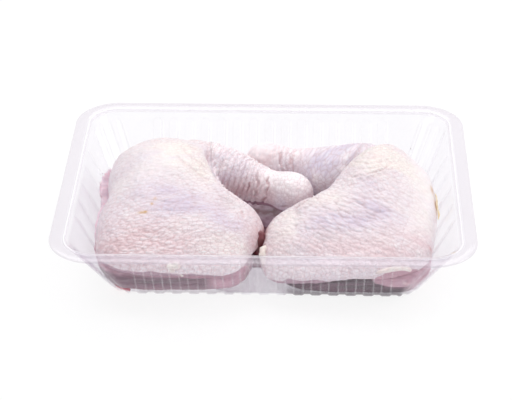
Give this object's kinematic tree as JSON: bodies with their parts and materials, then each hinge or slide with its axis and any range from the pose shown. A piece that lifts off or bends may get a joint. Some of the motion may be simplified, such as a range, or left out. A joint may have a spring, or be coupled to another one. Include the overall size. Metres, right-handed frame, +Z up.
{
  "type": "meat tray pack",
  "caption": "Open clear ribbed plastic tray with raw, skin-on chicken leg quarters, each with its drumstick folded in beside the thigh.",
  "frame": {"origin": "centre of the tray's footprint, on the surface that the tray stands on", "axes": "+X along the tray's long side, +Y from its front to its back, +Z up"},
  "size_m": [0.227, 0.178, 0.0536],
  "materials": {
    "clear_plastic": "clear thermoformed sheet with a faint bluish white tint",
    "chicken_skin": "moist raw chicken skin, pale pinkish white with lilac patches, fine bumps and wrinkles",
    "raw_flesh": "moist raw flesh, dusty pink, with cream fat at the edge of the skin"
  },
  "bodies": {
    "root": {"tray": "clear_plastic", "leg_left": "chicken_skin", "leg_left_flesh": "raw_flesh", "leg_right": "chicken_skin", "leg_right_flesh": "raw_flesh"}
  },
  "joints": []
}
